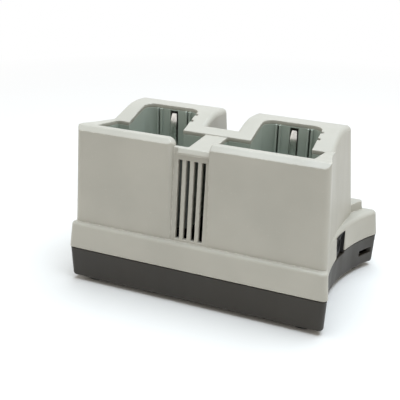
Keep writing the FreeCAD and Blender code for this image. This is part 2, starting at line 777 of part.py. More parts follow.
def regulator(x):
    """Power transistor clamped in front of the heat sink."""
    body = block(x - 5, x + 5, 14.0 - 4.6, 14.0 - 0.05, board_top + 3.0, board_top + 12)
    for i in (-1, 0, 1):
        leg_x = x + i * 2.54
        body = body.fuse(block(leg_x - 0.4, leg_x + 0.4, 11.0, 11.8, board_top, board_top + 3.5))
    return body.removeSplitter()


# ---------------------------------------------------------------- output
save(upper_housing(), "upper_housing")
save(base_tray(), "base_tray")
save(trimmed(liner(True)), "right_pocket_liner")
save(trimmed(mirrored(liner(False))), "left_pocket_liner")
for name, shape in (
    ("contact_board", contact_board()),
    ("board_connector", board_connector()),
    ("leaf_spring", leaf_spring()),
    ("leaf_clip", leaf_clip()),
    ("pin_barrels", Part.makeCompound([pin_barrel(x) for x in pin_xs()])),
    ("contact_board_screws", Part.makeCompound([contact_screw(x) for x in contact_screw_xs()])),
):
    save(shape, "right_" + name)
    save(mirrored(shape), "left_" + name)
for number, pin_x in enumerate(pin_xs(), 1):
    plunger = pin_plunger(pin_x)
    save(plunger, "right_contact_pin_" + str(number))
    save(mirrored(plunger), "left_contact_pin_" + str(number))
save(dc_jack(), "dc_jack_body")
save(dc_jack_pin(), "dc_jack_pin")
save(dc_jack_spring(), "dc_jack_contact")
save(Part.makeCompound(jack_legs()), "dc_jack_legs")
save(main_board(), "main_board")
save(heat_sink(), "heat_sink")
save(Part.makeCompound([regulator(-8), regulator(8)]), "regulators")
save(power_inductor(), "power_inductor")
save(Part.makeCompound([capacitor(-14, -14), capacitor(14, -14)]), "bulk_capacitors")
save(Part.makeCompound([chip(-bay_centre, -18), chip(bay_centre, -18)]), "charge_controllers")
save(Part.makeCompound([board_screw(place) for place in board_screw_places()]), "main_board_screws")
save(Part.makeCompound([housing_screw(place) for place in screw_places()]), "housing_screws")
save(Part.makeCompound([rubber_foot(place) for place in foot_places()]), "rubber_feet")
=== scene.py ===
"""Desktop charging cradle: finishes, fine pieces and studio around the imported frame."""
import json
import math

import bmesh
import bpy
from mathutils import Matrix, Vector


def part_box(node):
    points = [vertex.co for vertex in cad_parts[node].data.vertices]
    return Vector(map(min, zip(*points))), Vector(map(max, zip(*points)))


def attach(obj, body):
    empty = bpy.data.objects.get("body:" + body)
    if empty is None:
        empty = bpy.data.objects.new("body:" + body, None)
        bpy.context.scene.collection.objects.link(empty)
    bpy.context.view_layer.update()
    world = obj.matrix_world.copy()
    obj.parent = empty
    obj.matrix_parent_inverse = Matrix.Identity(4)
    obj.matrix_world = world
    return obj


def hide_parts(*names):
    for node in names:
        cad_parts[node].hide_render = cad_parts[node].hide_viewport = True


bl_info = {
    "name": "Charging cradle",
    "version": (1, 0, 0),
    "blender": (4, 5, 0),
    "location": "View3D > Sidebar > Cradle",
    "description": "Finishes and fine pieces of a desktop charging cradle",
    "category": "Object",
}

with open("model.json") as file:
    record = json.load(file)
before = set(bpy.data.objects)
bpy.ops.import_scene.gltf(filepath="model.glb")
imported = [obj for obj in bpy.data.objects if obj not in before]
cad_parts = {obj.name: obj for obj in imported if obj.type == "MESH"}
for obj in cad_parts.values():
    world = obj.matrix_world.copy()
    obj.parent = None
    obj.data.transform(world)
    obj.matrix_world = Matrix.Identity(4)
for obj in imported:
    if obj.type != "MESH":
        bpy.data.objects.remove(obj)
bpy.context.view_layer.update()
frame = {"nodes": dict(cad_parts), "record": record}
SIDES = ("right", "left")
MM = 0.001
CONTACTS = 4            # sprung contacts in each pocket
POCKET_FLOOR = 36.0     # mm above the table
FOOT_RADIUS = 5.0       # mm
CLEAR = 0.01            # mm between an added piece and the moulding it lies on


# ---------------------------------------------------------------- settings
class CradleFinish(bpy.types.PropertyGroup):
    housing_colour: bpy.props.FloatVectorProperty(
        name="Housing", description="Warm grey of the upper moulding", subtype="COLOR",
        size=3, min=0, max=1, default=(0.432, 0.410, 0.352))
    liner_colour: bpy.props.FloatVectorProperty(
        name="Pockets", description="Grey of the pocket cups", subtype="COLOR",
        size=3, min=0, max=1, default=(0.370, 0.410, 0.355))
    tray_colour: bpy.props.FloatVectorProperty(
        name="Tray", description="Black of the base tray", subtype="COLOR",
        size=3, min=0, max=1, default=(0.020, 0.0155, 0.0095))
    grain_size: bpy.props.FloatProperty(
        name="Grain", description="Width of one grain of the moulded texture",
        subtype="DISTANCE", unit="LENGTH", default=0.00045)
    edge_radius: bpy.props.FloatProperty(
        name="Soft edge", description="Radius to which sharp moulded edges are softened in shading",
        subtype="DISTANCE", unit="LENGTH", default=0.0009)


class CradleDetail(bpy.types.PropertyGroup):
    leaf_thickness: bpy.props.FloatProperty(
        name="Leaf thickness", description="Thickness of the spring strip",
        subtype="DISTANCE", unit="LENGTH", default=0.0003)
    leaf_crown: bpy.props.FloatProperty(
        name="Leaf crown", description="How far the strip bulges across its width",
        subtype="DISTANCE", unit="LENGTH", default=0.00012)
    collar_radius: bpy.props.FloatProperty(
        name="Contact collar", description="Outer radius of the ring round each contact",
        subtype="DISTANCE", unit="LENGTH", default=0.00215)
    mouth_radius: bpy.props.FloatProperty(
        name="Inlet mouth", description="Outer radius of the rolled ring round the inlet",
        subtype="DISTANCE", unit="LENGTH", default=0.00395)
    shroud_reach: bpy.props.FloatProperty(
        name="Inlet shroud", description="How far the inlet's shroud stands out from its face",
        subtype="DISTANCE", unit="LENGTH", default=0.0016)
    plate_length: bpy.props.FloatProperty(
        name="Plate length", description="Length of the blank plate on the underside",
        subtype="DISTANCE", unit="LENGTH", default=0.054)
    plate_width: bpy.props.FloatProperty(
        name="Plate width", description="Width of the blank plate on the underside",
        subtype="DISTANCE", unit="LENGTH", default=0.030)
    rib_count: bpy.props.IntProperty(
        name="Underside ribs", description="Short ribs in each row on the underside", default=20, min=2)
    tread_count: bpy.props.IntProperty(
        name="Foot tread", description="Ribs around each rubber foot", default=18, min=6)
    tread_depth: bpy.props.FloatProperty(
        name="Tread depth", description="How far the foot ribs stand out",
        subtype="DISTANCE", unit="LENGTH", default=0.00025)


class CradleStage(bpy.types.PropertyGroup):
    floor_colour: bpy.props.FloatVectorProperty(
        name="Floor", description="Colour of the floor", subtype="COLOR",
        size=3, min=0, max=1, default=(0.80, 0.78, 0.75))
    top_light: bpy.props.FloatProperty(
        name="Top light", description="Power of the large soft lamp above, in watts", default=8.3)
    front_light: bpy.props.FloatProperty(
        name="Front light", description="Power of the soft lamp in front, in watts", default=0.40)
    left_light: bpy.props.FloatProperty(
        name="Left light", description="Power of the grazing lamp on the left, in watts", default=1.6)
    side_light: bpy.props.FloatProperty(
        name="Side light", description="Power of the warm lamp on the right, in watts", default=0.8)
    sky_light: bpy.props.FloatProperty(
        name="Sky", description="Strength of the soft light all round", default=0.44)
    lens: bpy.props.FloatProperty(
        name="Lens", description="Focal length in millimetres", default=68.4)


# ---------------------------------------------------------------- material nodes
class Shader:
    """Short way to lay out the nodes of one material."""

    def __init__(self, name):
        self.material = bpy.data.materials.new(name)
        self.material.use_nodes = True
        self.tree = self.material.node_tree
        self.tree.nodes.clear()
        self.output = self.node("ShaderNodeOutputMaterial")
        self.surface = self.node("ShaderNodeBsdfPrincipled")
        self.link(self.surface.outputs[0], self.output.inputs["Surface"])
        self.place = self.node("ShaderNodeTexCoord").outputs["Object"]

    def node(self, kind, **settings):
        made = self.tree.nodes.new(kind)
        for key, value in settings.items():
            setattr(made, key, value)
        return made

    def link(self, source, target):
        self.tree.links.new(source, target)

    def noise(self, scale, detail=2.0, stretch=None, roughness=0.5):
        """Noise on the object's own coordinates; scale is in waves per metre."""
        made = self.node("ShaderNodeTexNoise")
        made.inputs["Scale"].default_value = scale
        made.inputs["Detail"].default_value = detail
        made.inputs["Roughness"].default_value = roughness
        source = self.place
        if stretch:
            mapping = self.node("ShaderNodeMapping")
            mapping.inputs["Scale"].default_value = stretch
            self.link(source, mapping.inputs["Vector"])
            source = mapping.outputs[0]
        self.link(source, made.inputs["Vector"])
        return made.outputs["Fac"]

    def ranged(self, value, low, high, to_low, to_high):
        """Value mapped from one range to another, held at the ends."""
        made = self.node("ShaderNodeMapRange", clamp=True)
        for socket, number in zip(made.inputs[1:5], (low, high, to_low, to_high)):
            socket.default_value = number
        self.link(value, made.inputs["Value"])
        return made.outputs["Result"]

    def math(self, operation, a, b):
        made = self.node("ShaderNodeMath", operation=operation)
        for socket, value in zip(made.inputs, (a, b)):
            if isinstance(value, (int, float)):
                socket.default_value = value
            else:
                self.link(value, socket)
        return made.outputs[0]

    def mixed(self, share, first, second):
        """Colour mix; each side is a colour or a socket."""
        made = self.node("ShaderNodeMix", data_type="RGBA")
        self.link(share, made.inputs[0])
        for socket, value in zip((made.inputs[6], made.inputs[7]), (first, second)):
            if isinstance(value, (tuple, list)):
                socket.default_value = (*value[:3], 1)
            else:
                self.link(value, socket)
        return made.outputs[2]

    def edge_mask(self, radius):
        """1 on sharp edges and 0 on flats, and the softened normal."""
        bevel = self.node("ShaderNodeBevel", samples=6)
        bevel.inputs["Radius"].default_value = radius
        plain = self.node("ShaderNodeNewGeometry")
        dot = self.node("ShaderNodeVectorMath", operation="DOT_PRODUCT")
        self.link(bevel.outputs[0], dot.inputs[0])
        self.link(plain.outputs["Normal"], dot.inputs[1])
        return self.ranged(dot.outputs["Value"], 0.80, 0.995, 1.0, 0.0), bevel.outputs[0]

    def bump(self, height, strength, distance, normal=None):
        made = self.node("ShaderNodeBump")
        made.inputs["Strength"].default_value = strength
        made.inputs["Distance"].default_value = distance
        self.link(height, made.inputs["Height"])
        if normal is not None:
            self.link(normal, made.inputs["Normal"])
        return made.outputs[0]

    def finish(self, colour, roughness, normal=None, **constants):
        for name, value in (("Base Color", colour), ("Roughness", roughness), ("Normal", normal)):
            socket = self.surface.inputs[name]
            if value is None:
                continue
            if isinstance(value, (tuple, list)):
                socket.default_value = (*value[:3], 1)
            elif isinstance(value, (int, float)):
                socket.default_value = value
            else:
                self.link(value, socket)
        for name, value in constants.items():
            self.surface.inputs[name.replace("_", " ")].default_value = value
        return self.material


def shade(colour, factor):
    """Colour made lighter or darker."""
    return tuple(min(1.0, c * factor) for c in colour)


def moulded_plastic(name, colour, rough, grain, edge, wear_and_highlight, tone=0.05):
    """Spark-textured moulding: fine grain, faint clouding, rubbed edges lightened partly as wear and partly
    as painted highlight, and light handling marks.
    """
    s = Shader(name)
    mask, soft = s.edge_mask(edge)
    cloud = s.noise(28, 3)
    grain_height = s.noise(1 / grain, 2, roughness=0.6)
    streak = s.noise(160, 4, stretch=(1, 1, 0.12))
    base = s.mixed(s.ranged(cloud, 0.35, 0.65, 0, 1), shade(colour, 1 - tone), shade(colour, 1 + tone))
    fleck = s.ranged(s.noise(900, 1), 0.70, 0.78, 0, 0.35)
    base = s.mixed(fleck, base, shade(colour, 1.18))
    # edges lightened towards 1.75 times the colour: partly rubbed wear, partly a painted highlight along the
    # edges
    rubbed_and_highlight = s.math("MULTIPLY", mask, s.ranged(s.noise(420, 4), 0.40, 0.62, 0.15, wear_and_highlight))
    base = s.mixed(rubbed_and_highlight, base, shade(colour, 1.75))
    satin = s.ranged(streak, 0.35, 0.65, rough - 0.05, rough + 0.06)
    satin = s.math("SUBTRACT", satin, s.math("MULTIPLY", rubbed_and_highlight, 0.10))
    return s.finish(base, satin, s.bump(grain_height, 0.35, grain * 0.09, soft), IOR=1.50)


def pocket_plastic(name, colour, rough, grain, edge, wear_and_highlight, shade_front=-0.0312, deep_shade=0.16):
    """Pocket moulding; its outer front wall, seen only through the louvres, has deep shade painted into its
    colour.

    The painted shade covers what lies in front of shade_front, in metres along the depth.
    """
    material = moulded_plastic(name, colour, rough, grain, edge, wear_and_highlight)
    tree = material.node_tree
    surface = next(node for node in tree.nodes if node.type == "BSDF_PRINCIPLED")
    source = surface.inputs["Base Color"].links[0].from_socket
    place = tree.nodes.new("ShaderNodeTexCoord")
    split = tree.nodes.new("ShaderNodeSeparateXYZ")
    ahead = tree.nodes.new("ShaderNodeMath")
    mix = tree.nodes.new("ShaderNodeMix")
    ahead.operation = "LESS_THAN"
    ahead.inputs[1].default_value = shade_front
    mix.data_type = "RGBA"
    # painted shade: the colour in front of shade_front is darkened to deep_shade times the pocket grey
    mix.inputs[7].default_value = (*shade(colour, deep_shade), 1)
    tree.links.new(place.outputs["Object"], split.inputs[0])
    tree.links.new(split.outputs["Y"], ahead.inputs[0])
    tree.links.new(ahead.outputs[0], mix.inputs[0])
    tree.links.new(source, mix.inputs[6])
    tree.links.new(mix.outputs[2], surface.inputs["Base Color"])
    return material


def metal(name, colour, rough, brushed=None):
    """Plated or drawn metal with fine lines and faint tarnish."""
    s = Shader(name)
    tarnish = s.noise(380, 4)
    lines = s.noise(2600, 2, stretch=brushed or (1, 1, 1))
    base = s.mixed(s.ranged(tarnish, 0.42, 0.68, 0, 1), colour, shade(colour, 0.78))
    gloss = s.ranged(lines, 0.3, 0.7, rough - 0.06, rough + 0.10)
    return s.finish(base, gloss, s.bump(lines, 0.25, 0.00002), Metallic=1.0)


def plain_fine(name, colour, rough, grain):
    """Small component bodies: one tone with a fine mottled skin."""
    s = Shader(name)
    mottle = s.noise(1 / grain, 3)
    base = s.mixed(s.ranged(mottle, 0.35, 0.65, 0, 1), shade(colour, 0.85), shade(colour, 1.2))
    gloss = s.ranged(mottle, 0.3, 0.7, rough - 0.05, rough + 0.08)
    return s.finish(base, gloss, s.bump(mottle, 0.3, grain * 0.1))


def board_laminate(name):
    """Green solder mask over faint copper tracks."""
    s = Shader(name)
    tracks = s.node("ShaderNodeTexBrick")
    tracks.inputs["Scale"].default_value = 260
    tracks.inputs["Mortar Size"].default_value = 0.03
    s.link(s.place, tracks.inputs["Vector"])
    line = s.ranged(tracks.outputs["Fac"], 0.4, 0.6, 0, 1)
    base = s.mixed(line, (0.012, 0.085, 0.030), (0.030, 0.150, 0.050))
    return s.finish(base, 0.32, s.bump(line, 0.5, 0.00003), Coat_Weight=0.4)


def dull_rubber(name):
    """Black rubber with a dry, dusty bloom."""
    s = Shader(name)
    bloom = s.noise(300, 5)
    base = s.mixed(s.ranged(bloom, 0.4, 0.7, 0, 1), (0.012, 0.012, 0.012), (0.050, 0.048, 0.045))
    return s.finish(base, s.ranged(bloom, 0.3, 0.7, 0.78, 0.92), s.bump(s.noise(2500, 2), 0.4, 0.00004))


def make_finishes(look):
    """All materials of the cradle, by record slot."""
    grain, edge = look.grain_size, look.edge_radius
    return {
        "housing_plastic": moulded_plastic("housing_grey", tuple(look.housing_colour),
                                           rough=0.42, grain=grain, edge=edge, wear_and_highlight=0.80),
        "liner_plastic": pocket_plastic("pocket_grey", tuple(look.liner_colour),
                                        rough=0.46, grain=grain, edge=edge * 0.6, wear_and_highlight=0.40),
        "tray_plastic": moulded_plastic("tray_black", tuple(look.tray_colour),
                                        rough=0.44, grain=grain * 1.2, edge=edge, wear_and_highlight=0.70, tone=0.12),
        "inlet_plastic": plain_fine("inlet_black", (0.007, 0.0065, 0.006), rough=0.55, grain=0.0006),
        "contact_metal": metal("nickel_plate", (0.66, 0.64, 0.60), rough=0.22),
        "leaf_steel": metal("spring_steel", (0.70, 0.68, 0.64), rough=0.20, brushed=(1, 1, 0.08)),
        "pin_brass": metal("gold_plate", (0.86, 0.63, 0.26), rough=0.20),
        "board_laminate": board_laminate("board_green"),
        "sink_aluminium": metal("extruded_aluminium", (0.58, 0.58, 0.59), rough=0.34, brushed=(1, 0.05, 1)),
        "chip_plastic": plain_fine("chip_black", (0.02, 0.02, 0.02), rough=0.55, grain=0.0003),
        "inductor_core": plain_fine("ferrite", (0.07, 0.065, 0.065), rough=0.7, grain=0.0005),
        "capacitor_sleeve": plain_fine("sleeve_blue", (0.02, 0.03, 0.11), rough=0.25, grain=0.0012),
        "screw_steel": metal("zinc_plate", (0.52, 0.52, 0.50), rough=0.30),
        "foot_rubber": dull_rubber("foot_rubber"),
    }


def finish_named(slot):
    """The material of a record slot."""
    return bpy.data.materials[bpy.context.scene["cradle_finishes"][slot]]


# ---------------------------------------------------------------- piece helpers
def settle(piece, body, replaced=()):
    """Ties a finished mesh to its CAD body and hides the CAD nodes it replaces."""
    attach(piece, body)
    if replaced:
        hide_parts(*replaced)
    return piece


def piece_from(name, bm, slot, smooth=True):
    """Object with one material from a bmesh, normals outward."""
    bmesh.ops.remove_doubles(bm, verts=bm.verts, dist=1e-7)
    bmesh.ops.recalc_face_normals(bm, faces=bm.faces)
    mesh = bpy.data.meshes.new(name)
    bm.to_mesh(mesh)
    bm.free()
    for polygon in mesh.polygons:
        polygon.use_smooth = smooth
    mesh.materials.append(finish_named(slot))
    piece = bpy.data.objects.new(name, mesh)
    bpy.context.scene.collection.objects.link(piece)
    return piece


def soften(piece, width, segments=2, angle=35):
    """Rounds the hard edges of a piece, with clean shading on its flats."""
    bevel = piece.modifiers.new("soft_edge", "BEVEL")
    bevel.width = width
    bevel.segments = segments
    bevel.limit_method = "ANGLE"
    bevel.angle_limit = math.radians(angle)
    bevel.harden_normals = True
    return piece


def socket_id(tree, name):
    return next(item.identifier for item in tree.interface.items_tree if item.name == name)


def group_input(tree, name, kind, default=None):
    socket = tree.interface.new_socket(name=name, in_out="INPUT", socket_type=kind)
    if default is not None:
        socket.default_value = default


def bar_row_tree():
    """Geometry Nodes: a row of equal bars that starts at one place and goes on by equal steps."""
    tree = bpy.data.node_groups.get("bar_row")
    if tree:
        return tree
    tree = bpy.data.node_groups.new("bar_row", "GeometryNodeTree")
    tree.interface.new_socket(name="Geometry", in_out="OUTPUT", socket_type="NodeSocketGeometry")
    group_input(tree, "Count", "NodeSocketInt", 4)
    group_input(tree, "Start", "NodeSocketVector")
    group_input(tree, "Step", "NodeSocketVector")
    group_input(tree, "Size", "NodeSocketVector")
    group_input(tree, "Finish", "NodeSocketMaterial")
    nodes, links = tree.nodes, tree.links
    given = nodes.new("NodeGroupInput")
    line = nodes.new("GeometryNodeMeshLine")
    bar = nodes.new("GeometryNodeMeshCube")
    place = nodes.new("GeometryNodeInstanceOnPoints")
    real = nodes.new("GeometryNodeRealizeInstances")
    paint = nodes.new("GeometryNodeSetMaterial")
    out = nodes.new("NodeGroupOutput")
    links.new(given.outputs["Count"], line.inputs["Count"])
    links.new(given.outputs["Start"], line.inputs["Start Location"])
    links.new(given.outputs["Step"], line.inputs["Offset"])
    links.new(given.outputs["Size"], bar.inputs["Size"])
    links.new(line.outputs["Mesh"], place.inputs["Points"])
    links.new(bar.outputs["Mesh"], place.inputs["Instance"])
    links.new(place.outputs["Instances"], real.inputs["Geometry"])
    links.new(real.outputs["Geometry"], paint.inputs["Geometry"])
    links.new(given.outputs["Finish"], paint.inputs["Material"])
    links.new(paint.outputs["Geometry"], out.inputs["Geometry"])
    return tree


def spoke_ring_tree():
    """Geometry Nodes: bars set radially round an upright axis."""
    tree = bpy.data.node_groups.get("spoke_ring")
    if tree:
        return tree
    tree = bpy.data.node_groups.new("spoke_ring", "GeometryNodeTree")
    tree.interface.new_socket(name="Geometry", in_out="OUTPUT", socket_type="NodeSocketGeometry")
    group_input(tree, "Count", "NodeSocketInt", 12)
    group_input(tree, "Centre", "NodeSocketVector")
    group_input(tree, "Radius", "NodeSocketFloat", 0.005)
    group_input(tree, "Size", "NodeSocketVector")
    group_input(tree, "Finish", "NodeSocketMaterial")
    nodes, links = tree.nodes, tree.links
    given = nodes.new("NodeGroupInput")
    ring = nodes.new("GeometryNodeMeshCircle")
    bar = nodes.new("GeometryNodeMeshCube")
    where = nodes.new("GeometryNodeInputPosition")
    align = nodes.new("FunctionNodeAlignEulerToVector")
    place = nodes.new("GeometryNodeInstanceOnPoints")
    real = nodes.new("GeometryNodeRealizeInstances")
    move = nodes.new("GeometryNodeTransform")
    paint = nodes.new("GeometryNodeSetMaterial")
    out = nodes.new("NodeGroupOutput")
    align.axis = "X"
    align.pivot_axis = "Z"
    links.new(given.outputs["Count"], ring.inputs["Vertices"])
    links.new(given.outputs["Radius"], ring.inputs["Radius"])
    links.new(given.outputs["Size"], bar.inputs["Size"])
    links.new(where.outputs[0], align.inputs["Vector"])
    links.new(ring.outputs["Mesh"], place.inputs["Points"])
    links.new(bar.outputs["Mesh"], place.inputs["Instance"])
    links.new(align.outputs[0], place.inputs["Rotation"])
    links.new(place.outputs["Instances"], real.inputs["Geometry"])
    links.new(real.outputs["Geometry"], move.inputs["Geometry"])
    links.new(given.outputs["Centre"], move.inputs["Translation"])
    links.new(move.outputs["Geometry"], paint.inputs["Geometry"])
    links.new(given.outputs["Finish"], paint.inputs["Material"])
    links.new(paint.outputs["Geometry"], out.inputs["Geometry"])
    return tree


def grown(name, runs, slot):
    """Plain mesh from one or more runs of a Geometry Nodes tree, joined in one piece."""
    bm = bmesh.new()
    for tree, values in runs:
        holder = bpy.data.objects.new("holder", bpy.data.meshes.new("holder"))
        bpy.context.scene.collection.objects.link(holder)
        modifier = holder.modifiers.new("grow", "NODES")
        modifier.node_group = tree
        for key, value in {**values, "Finish": finish_named(slot)}.items():
            modifier[socket_id(tree, key)] = value
        bpy.context.view_layer.update()
        shown = holder.evaluated_get(bpy.context.evaluated_depsgraph_get())
        made = bpy.data.meshes.new_from_object(shown)
        bm.from_mesh(made)
        bpy.data.objects.remove(holder)
        bpy.data.meshes.remove(made)
    return piece_from(name, bm, slot, smooth=False)


def bars(count, start, step, size):
    """One run of the bar row; all lengths in millimetres."""
    values = {"Count": count, "Start": Vector(start) * MM, "Step": Vector(step) * MM,
              "Size": Vector(size) * MM}
    return bar_row_tree(), values


def spokes(count, centre, radius, size):
    """One run of the spoke ring; all lengths in millimetres."""
    values = {"Count": count, "Centre": Vector(centre) * MM, "Radius": radius * MM, "Size": Vector(size) * MM}
    return spoke_ring_tree(), values


def lathe(bm, profile, centre, axis="Z", steps=40):
    """Turns a closed profile of (radius, height) pairs, in millimetres, round an axis through a place."""
    rings = []
    for i in range(steps):
        a = 2 * math.pi * i / steps
        ring = []
        for radius, height in profile:
            u, v, w = radius * math.cos(a), radius * math.sin(a), height
            point = Vector((u, v, w)) if axis == "Z" else Vector((w, u, v))
            ring.append(bm.verts.new((Vector(centre) + point) * MM))
        rings.append(ring)
    for i in range(steps):
        one, two = rings[i], rings[(i + 1) % steps]
        for j in range(len(profile)):
            k = (j + 1) % len(profile)
            bm.faces.new((one[j], two[j], two[k], one[k]))


# ---------------------------------------------------------------- operators
class CRADLE_OT_finishes(bpy.types.Operator):
    """Make the finishes and give every CAD node its own"""
    bl_idname = "cradle.finishes"
    bl_label = "Finishes"

    def execute(self, context):
        made = make_finishes(context.scene.cradle_finish)
        context.scene["cradle_finishes"] = {slot: material.name for slot, material in made.items()}
        slots = {row["node"]: row["material_slot"] for row in frame["record"]["subparts"]}
        for name, node in frame["nodes"].items():
            node.data.materials.clear()
            node.data.materials.append(made[slots[name]])
        return {"FINISHED"}


class CRADLE_OT_feet(bpy.types.Operator):
    """Ribbed tread round each rubber foot"""
    bl_idname = "cradle.feet"
    bl_label = "Foot treads"

    def execute(self, context):
        detail = context.scene.cradle_detail
        low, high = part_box("rubber_feet")
        rib = (2 * detail.tread_depth / MM, 0.8, 0.7)
        rib_height = 0.75
        runs = []
        for side in (-1, 1):
            for y in (low.y / MM + FOOT_RADIUS, high.y / MM - FOOT_RADIUS):
                centre = (side * foot_reach(y), y, rib_height)
                runs.append(spokes(detail.tread_count, centre, FOOT_RADIUS, rib))
        tread = grown("foot_tread", runs, "foot_rubber")
        settle(soften(tread, 0.1 * MM, 1), "cradle")
        return {"FINISHED"}


def foot_reach(y):
    """How far out the feet at one depth stand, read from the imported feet."""
    mesh = frame["nodes"]["rubber_feet"].data
    near = FOOT_RADIUS + 0.2
    xs = [v.co.x / MM for v in mesh.vertices if v.co.x > 0 and abs(v.co.y / MM - y) < near]
    return (min(xs) + max(xs)) / 2


class CRADLE_OT_leaf_springs(bpy.types.Operator):
    """Smoothly bent leaf springs with a crowned face and a curled tip"""
    bl_idname = "cradle.leaf_springs"
    bl_label = "Leaf springs"

    def execute(self, context):
        detail = context.scene.cradle_detail
        for side in SIDES:
            node = side + "_leaf_spring"
            low, high = (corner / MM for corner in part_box(node))
            line = smooth_line(leaf_knots(low, high))
            bm = bmesh.new()
            leaf_strip(bm, line, (low.x + high.x) / 2, (high.x - low.x) / 2,
                       detail.leaf_thickness / MM, detail.leaf_crown / MM)
            piece = piece_from(side + "_leaf", bm, "leaf_steel")
            settle(soften(piece, 0.06 * MM, 2), node + "_body", [node])
        return {"FINISHED"}


def leaf_knots(low, high):
    """Side line of a leaf, as (depth, height): upright foot, long bow into the pocket, curled tip."""
    foot = high.y - 0.35
    bow = low.y
    return [(foot, low.z), (foot, low.z + 1.4), (foot - 0.7, low.z + 2.3), (bow + 0.85, low.z + 6.5),
            (bow + 0.25, low.z + 12.0), (bow, low.z + 17.0), (bow + 0.15, low.z + 20.0),
            (bow + 1.0, high.z - 1.8), (bow + 1.45, high.z - 0.3)]


def leaf_strip(bm, line, x, half, thickness, crown, across=6, taper_from=0.8, taper=0.35):
    """Closed strip along a side line, crowned across its width and narrower towards its tip."""
    rings = []
    for i, (y, z) in enumerate(line):
        t = i / (len(line) - 1)
        width = half * (1.0 if t < taper_from else 1.0 - taper * (t - taper_from) / (1 - taper_from))
        ring = []
        for back in (0, 1):
            order = range(across, -1, -1) if back else range(across + 1)
            for k in order:
                u = -1 + 2 * k / across
                bulge = 0 if back else crown * (1 - u * u)
                ring.append(bm.verts.new(Vector((x + u * width, y - bulge + thickness * back, z)) * MM))
        rings.append(ring)
    for one, two in zip(rings, rings[1:]):
        for k in range(len(one)):
            following = (k + 1) % len(one)
            bm.faces.new((one[k], one[following], two[following], two[k]))
    bm.faces.new(rings[0])
    bm.faces.new(list(reversed(rings[-1])))


def smooth_line(knots, per_span=6):
    """Points of a Catmull-Rom line through the knots."""
    padded = [knots[0]] + list(knots) + [knots[-1]]
    line = []
    for i in range(1, len(padded) - 2):
        p0, p1, p2, p3 = (Vector(p) for p in padded[i - 1:i + 3])
        for k in range(per_span):
            t = k / per_span
            point = 0.5 * ((2 * p1) + (p2 - p0) * t + (2 * p0 - 5 * p1 + 4 * p2 - p3) * t * t
                           + (3 * p1 - p0 - 3 * p2 + p3) * t ** 3)
            line.append((point.x, point.y))
    line.append(tuple(knots[-1]))
    return line


class CRADLE_OT_contact_collars(bpy.types.Operator):
    """Black insulating collar round each contact barrel on the pocket floors"""
    bl_idname = "cradle.contact_collars"
    bl_label = "Contact collars"

    def execute(self, context):
        outer = context.scene.cradle_detail.collar_radius / MM
        bore = 1.46
        base = POCKET_FLOOR + 2 * CLEAR
        profile = [(bore, base), (outer, base), (outer, base + 0.38), (outer - 0.20, base + 0.60),
                   (bore + 0.14, base + 0.64), (bore, base + 0.54)]
        bm = bmesh.new()
        for side in SIDES:
            for number in range(1, CONTACTS + 1):
                low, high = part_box("%s_contact_pin_%d" % (side, number))
                middle = (low + high) / 2 / MM
                lathe(bm, profile, (middle.x, middle.y, 0.0), "Z", 32)
        collars = piece_from("contact_collars", bm, "inlet_plastic")
        settle(soften(collars, 0.05 * MM, 1, 50), "cradle")
        return {"FINISHED"}


class CRADLE_OT_underside(bpy.types.Operator):
    """Blank plate in a raised border on the underside, with a row of short ribs on either side"""
    bl_idname = "cradle.underside"
    bl_label = "Underside"

    def execute(self, context):
        detail = context.scene.cradle_detail
        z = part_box("base_tray")[0].z / MM - CLEAR
        half = (detail.plate_length / 2 / MM, detail.plate_width / 2 / MM)
        plate_thickness = 0.15
        bm = bmesh.new()
        rounded_plate(bm, (0.0, 0.0), half, 2.0, z - plate_thickness, z)
        plate = piece_from("rating_plate", bm, "screw_steel", smooth=False)
        settle(soften(plate, 0.05 * MM, 1), "cradle")
        border_gap = 1.6        # from the plate's edge to the middle of the border
        border_width = 0.8
        border_depth = 0.42
        border_tuck = 0.1       # the long sides end just inside the middle of the short ones
        rib_step = 2.0
        rib = (0.8, 9.0, 0.38)
        rib_y = 25.0
        x, y = half[0] + border_gap, half[1] + border_gap
        first = -rib_step * (detail.rib_count - 1) / 2
        still = (0, 0, 0)
        runs = []
        for side in (-1, 1):
            runs.append(bars(1, (0.0, side * y, z - border_depth / 2), still,
                             (2 * (x - border_tuck), border_width, border_depth)))
        for side in (-1, 1):
            runs.append(bars(1, (side * x, 0.0, z - border_depth / 2), still,
                             (border_width, 2 * y + border_width, border_depth)))
        for side in (-1, 1):
            runs.append(bars(detail.rib_count, (first, side * rib_y, z - rib[2] / 2), (rib_step, 0, 0), rib))
        border = grown("tray_ribs", runs, "tray_plastic")
        settle(soften(border, 0.12 * MM), "cradle")
        return {"FINISHED"}


def rounded_plate(bm, centre, half, radius, z0, z1, steps=6):
    """Flat plate with round corners, in millimetres."""
    outline = []
    for quarter, (sx, sy) in enumerate(((1, 1), (-1, 1), (-1, -1), (1, -1))):
        for k in range(steps + 1):
            a = math.radians(90 * quarter + 90 * k / steps)
            outline.append((centre[0] + sx * (half[0] - radius) + radius * math.cos(a),
                            centre[1] + sy * (half[1] - radius) + radius * math.sin(a)))
    low = [bm.verts.new(Vector((x, y, z0)) * MM) for x, y in outline]
    high = [bm.verts.new(Vector((x, y, z1)) * MM) for x, y in outline]
    bm.faces.new(list(reversed(low)))
    bm.faces.new(high)
    for i in range(len(outline)):
        k = (i + 1) % len(outline)
        bm.faces.new((low[i], low[k], high[k], high[i]))


